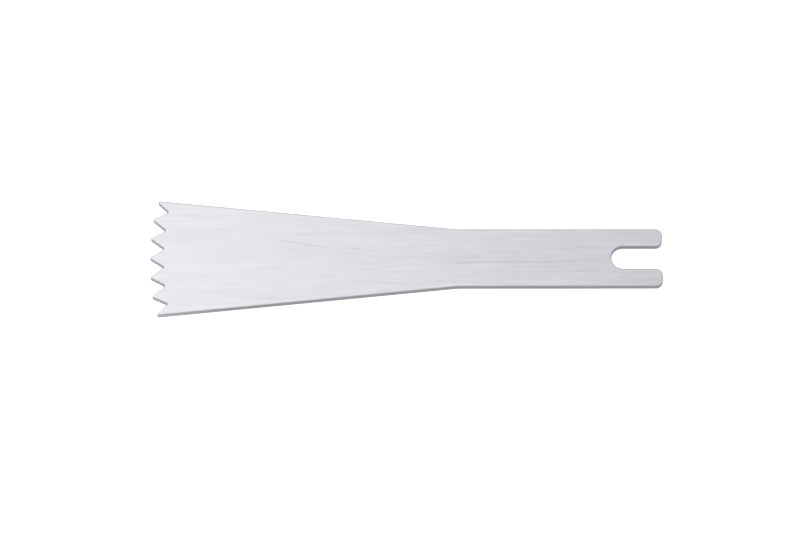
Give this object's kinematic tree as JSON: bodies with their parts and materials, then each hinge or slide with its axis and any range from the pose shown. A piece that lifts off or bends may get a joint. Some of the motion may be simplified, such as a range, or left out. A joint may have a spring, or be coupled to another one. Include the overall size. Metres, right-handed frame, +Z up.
{
  "type": "clay modeling tool",
  "caption": "Flat brushed steel clay tool blade: a parallel shank with an open clamp slot flares to a fanned row of pointed teeth for combing and scoring clay.",
  "frame": {"origin": "middle of the blade's underside, on its long centreline and half way along its length", "axes": "+X along the blade from the teeth towards the slotted end, +Y across it, +Z up out of the flat face"},
  "size_m": [0.1, 0.0238, 0.0015],
  "materials": {
    "brushed_sheet": "satin, brushed along the length, with fine handling scratches and tumbled edges"
  },
  "bodies": {
    "root": {"comb_blade": "brushed_sheet"}
  },
  "joints": []
}
